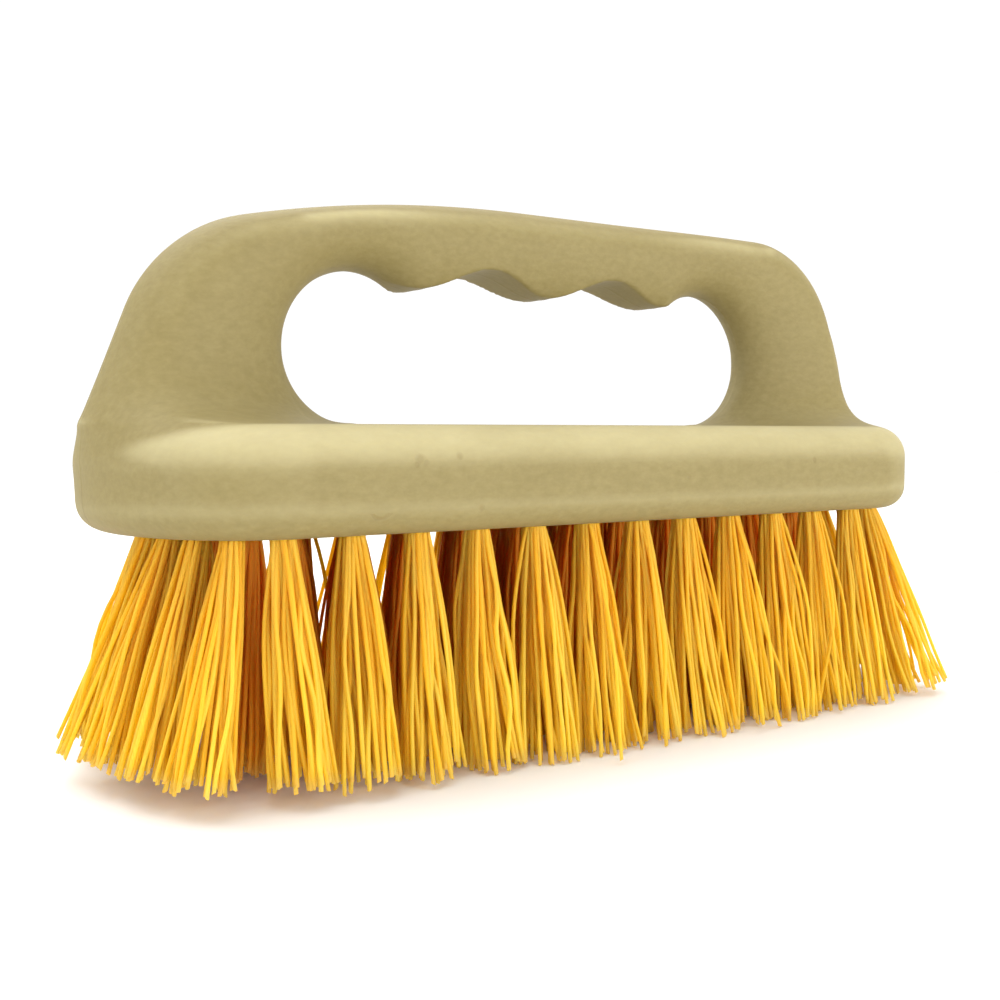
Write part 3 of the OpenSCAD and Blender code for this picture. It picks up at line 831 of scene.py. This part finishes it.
def bristle_material():
    m = Nodes("bristle_filament")
    tone = m.add("ShaderNodeAttribute", attribute_name="tone").outputs["Fac"]
    tip = m.add("ShaderNodeAttribute", attribute_name="tip").outputs["Fac"]
    tc = m.add("ShaderNodeTexCoord").outputs["Object"]
    streak = m.noise(m.mapping(tc, (900, 900, 90)), 1.0, 2.0, 0.5)
    v = m.math("ADD", m.math("MULTIPLY", tone, 0.75), m.math("MULTIPLY", streak, 0.25))
    col = m.ramp(v, [(0.1, (0.97, 0.72, 0.06, 1)), (0.5, (0.98, 0.78, 0.09, 1)), (0.9, (0.99, 0.84, 0.13, 1))])
    # painted highlight: the cut ends of the filaments are lightened towards a pale yellow
    tip_highlight = m.add("ShaderNodeMix", data_type="RGBA")
    m.link(m.math("MULTIPLY_ADD", tip, 8.0, -7.45, clamp=True), tip_highlight.inputs[0])
    # painted shade: the yellow is darkened to orange up near the block, in its shadow, and most in the tufts that stand
    # within the ring, shaded by the outer tufts
    within = m.add("ShaderNodeAttribute", attribute_name="within").outputs["Fac"]
    shade_under_block = m.math("MULTIPLY_ADD", tip, -1.1, 0.75, clamp=True)
    shade_within_ring = m.math("MULTIPLY", within, m.math("MULTIPLY_ADD", tip, -0.75, 1.1, clamp=True))
    shade_amount = m.math("MAXIMUM", shade_within_ring, m.math("MULTIPLY", shade_under_block, 0.3))
    shade_tint = m.add("ShaderNodeMix", data_type="RGBA", blend_type="MULTIPLY")
    m.link(shade_amount, shade_tint.inputs[0])
    m.link(col, shade_tint.inputs[6])
    shade_tint.inputs[7].default_value = (1.0, 0.62, 0.35, 1)
    m.link(shade_tint.outputs[2], tip_highlight.inputs[6])
    tip_highlight.inputs[7].default_value = (0.97, 0.78, 0.32, 1)
    bs = m.add("ShaderNodeBsdfPrincipled")
    m.link(tip_highlight.outputs[2], bs.inputs["Base Color"])
    bs.inputs["Roughness"].default_value = 0.45
    bs.inputs["Specular IOR Level"].default_value = 0.22
    tr = m.add("ShaderNodeBsdfTranslucent")
    # painted shade in the translucent colour too, by the same amount
    shaded_translucency = m.add("ShaderNodeMix", data_type="RGBA", blend_type="MULTIPLY")
    m.link(shade_amount, shaded_translucency.inputs[0])
    m.link(m.ramp(v, [(0.1, (0.98, 0.71, 0.030, 1)), (0.9, (0.99, 0.81, 0.060, 1))]), shaded_translucency.inputs[6])
    shaded_translucency.inputs[7].default_value = (1.0, 0.50, 0.30, 1)
    m.link(shaded_translucency.outputs[2], tr.inputs["Color"])
    mx = m.add("ShaderNodeMixShader")
    mx.inputs[0].default_value = 0.60
    m.link(bs.outputs["BSDF"], mx.inputs[1])
    m.link(tr.outputs["BSDF"], mx.inputs[2])
    m.link(mx.outputs[0], m.out.inputs["Surface"])
    return m.mat


def steel_material():
    m = Nodes("anchor_steel")
    tc = m.add("ShaderNodeTexCoord").outputs["Object"]
    lines = m.noise(m.mapping(tc, (400, 400, 6000)), 1.0, 3.0, 0.6)
    bs = m.add("ShaderNodeBsdfPrincipled")
    m.link(m.ramp(lines, [(0.3, grey(0.5)), (0.7, grey(0.66))]), bs.inputs["Base Color"])
    bs.inputs["Metallic"].default_value = 1.0
    m.link(m.math("MULTIPLY_ADD", lines, 0.2, 0.25), bs.inputs["Roughness"])
    m.link(bs.outputs["BSDF"], m.out.inputs["Surface"])
    return m.mat


def floor_material():
    m = Nodes("pale_floor")
    tc = m.add("ShaderNodeTexCoord").outputs["Object"]
    n = m.noise(m.mapping(tc, (3, 3, 3)), 1.0, 2.0, 0.5)
    bs = m.add("ShaderNodeBsdfPrincipled")
    m.link(m.ramp(n, [(0.3, (0.86, 0.86, 0.86, 1)), (0.7, (0.88, 0.88, 0.88, 1))]), bs.inputs["Base Color"])
    bs.inputs["Roughness"].default_value = 0.9
    bs.inputs["Specular IOR Level"].default_value = 0.1
    m.link(bs.outputs["BSDF"], m.out.inputs["Surface"])
    return m.mat


MAT_BODY, MAT_BRISTLE, MAT_STEEL, MAT_FLOOR = plastic_material(), bristle_material(), steel_material(), floor_material()


def dress(obj, mat, node):
    obj.data.materials.clear()
    obj.data.materials.append(mat)
    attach(obj, "root")
    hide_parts(node)


dress(body, MAT_BODY, "moulded_body")
for key, o in bristles:
    dress(o, MAT_BRISTLE, "tuft_row_" + key)
for key, o in anchors:
    dress(o, MAT_STEEL, "anchor_row_" + key)

# ---------------------------------------------------------------------------------------------
# Floor, light and camera
# ---------------------------------------------------------------------------------------------
me = bpy.data.meshes.new("floor")
s = 4.0
me.from_pydata([(-s, -s, 0), (s, -s, 0), (s, s, 0), (-s, s, 0)], [], [(0, 1, 2, 3)])
me.materials.append(MAT_FLOOR)
floor = add_object("floor", me)

world = bpy.data.worlds.new("studio")
bpy.context.scene.world = world
world.use_nodes = True
bg = world.node_tree.nodes["Background"]
bg.inputs["Color"].default_value = (1.0, 1.0, 1.0, 1)
bg.inputs["Strength"].default_value = 0.5


def area(name, loc, target, size, power, colour=(1, 1, 1)):
    d = bpy.data.lights.new(name, "AREA")
    d.shape = "RECTANGLE"
    d.size, d.size_y = size
    d.energy = power
    d.color = colour
    o = bpy.data.objects.new(name, d)
    bpy.context.scene.collection.objects.link(o)
    o.location = loc
    o.rotation_euler = (Vector(target) - Vector(loc)).to_track_quat("-Z", "Y").to_euler()
    return o


area("top_softbox", (-0.10, 0.30, 1.10), (0, 0.05, 0.0), (1.6, 1.6), 26.0, (1.0, 0.99, 0.96))
area("front_fill", (0.22, -0.74, 0.10), (0, 0, 0.02), (1.0, 0.2), 5.6, (1.0, 0.98, 0.95))
area("toe_fill", (-0.90, -0.02, 0.12), (0, 0, 0.03), (0.5, 0.3), 3.2, (1.0, 0.99, 0.97))

# a lit white panel behind the brush, square to the view
m = Nodes("lit_backdrop")
panel_glow = m.add("ShaderNodeEmission")
panel_glow.inputs["Color"].default_value = (1.0, 1.0, 1.0, 1)
panel_glow.inputs["Strength"].default_value = 1.05
m.link(panel_glow.outputs[0], m.out.inputs["Surface"])
far_x, far_y = math.sin(math.radians(33.62)), math.cos(math.radians(33.62))
me = bpy.data.meshes.new("backdrop")
me.from_pydata([(far_x * 1.3 + far_y * a, far_y * 1.3 - far_x * a, b)
                for a, b in ((-2.5, -0.01), (2.5, -0.01), (2.5, 2.2), (-2.5, 2.2))], [], [(0, 1, 2, 3)])
me.materials.append(m.mat)
add_object("backdrop", me)

cam_data = bpy.data.cameras.new("camera")
cam_data.sensor_fit = "HORIZONTAL"
cam_data.sensor_width = 36.0
cam_data.lens = 36.0 * 1180.34 / 1000.0
cam_data.clip_start = 0.01
cam_data.clip_end = 50.0
cam = bpy.data.objects.new("camera", cam_data)
bpy.context.scene.collection.objects.link(cam)
cam.location = to_world(np.array([-116.987, -166.948, -1.211]))
yaw, pitch = math.radians(33.62), math.radians(-3.26)
look = Vector((math.sin(yaw) * math.cos(pitch), math.cos(yaw) * math.cos(pitch), math.sin(pitch)))
cam.rotation_euler = look.to_track_quat("-Z", "Y").to_euler()
bpy.context.scene.camera = cam
bpy.context.scene.view_settings.view_transform = "Standard"
bpy.context.scene.view_settings.look = "None"
